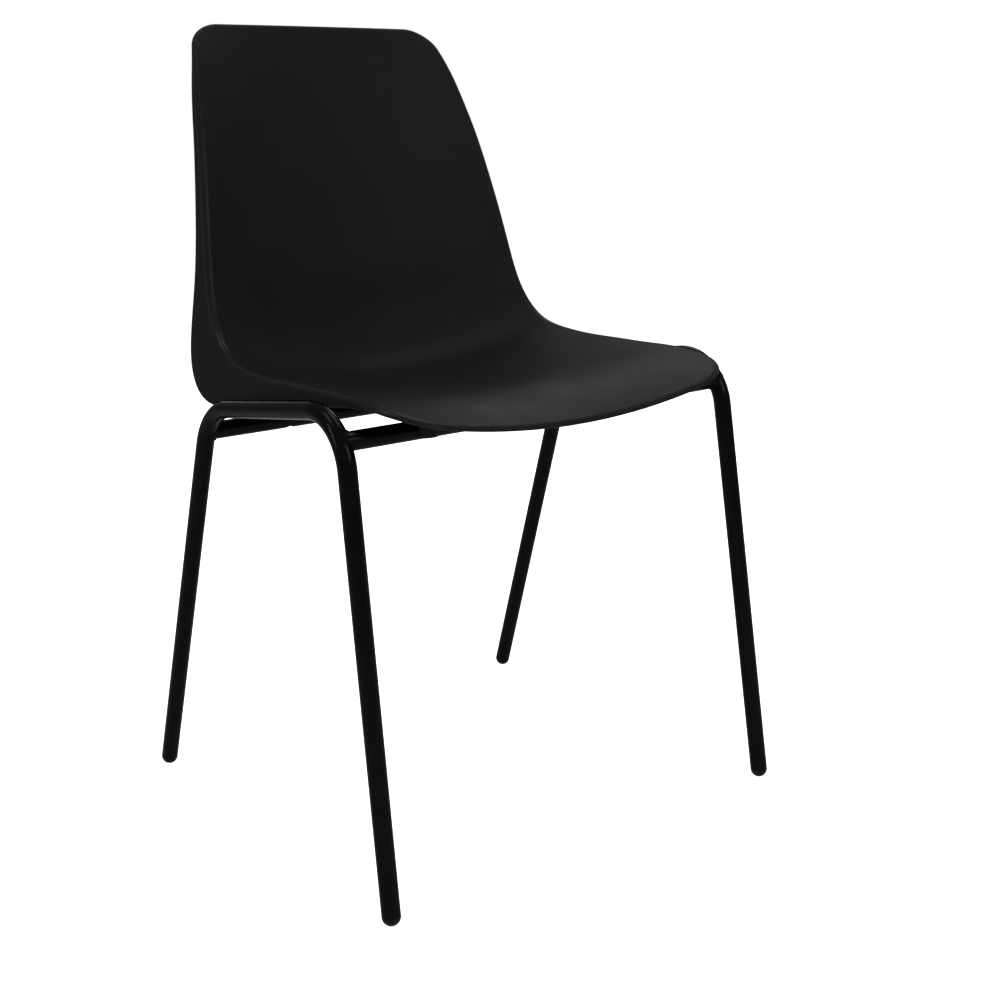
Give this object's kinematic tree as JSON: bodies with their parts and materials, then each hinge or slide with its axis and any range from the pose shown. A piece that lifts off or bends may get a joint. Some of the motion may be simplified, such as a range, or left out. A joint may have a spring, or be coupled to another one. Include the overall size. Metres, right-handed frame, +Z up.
{
  "type": "choir chair",
  "caption": "Stacking choir chair: a moulded polypropylene seat shell with rolled edges on a welded frame of bent round steel tube, with cross rails and domed glides.",
  "frame": {"origin": "on the floor under the middle of the four feet", "axes": "+Z up, +Y towards the back of the chair, so the sitter faces -Y, and +X towards the sitter's left"},
  "size_m": [0.4594, 0.439, 0.7445],
  "materials": {
    "polypropylene": "fine-textured satin black polypropylene",
    "powder_coat": "semi-gloss black powder coat",
    "coated_weld": "black powder coat over a rippled weld bead",
    "glide_plastic": "smooth black nylon",
    "zinc_screw": "bright zinc plating",
    "zinc_washer": "bright zinc plating"
  },
  "bodies": {
    "root": {"seat_shell": "polypropylene", "left_side_frame": "powder_coat", "right_side_frame": "powder_coat", "front_cross_rail": "powder_coat", "rear_cross_rail": "powder_coat", "weld_front_left": "coated_weld", "weld_front_right": "coated_weld", "weld_rear_left": "coated_weld", "weld_rear_right": "coated_weld", "glide_front_left": "glide_plastic", "glide_front_right": "glide_plastic", "glide_rear_left": "glide_plastic", "glide_rear_right": "glide_plastic", "screw_front_left": "zinc_screw", "screw_front_right": "zinc_screw", "screw_rear_left": "zinc_screw", "screw_rear_right": "zinc_screw", "washer_front_left": "zinc_washer", "washer_front_right": "zinc_washer", "washer_rear_left": "zinc_washer", "washer_rear_right": "zinc_washer"}
  },
  "joints": []
}
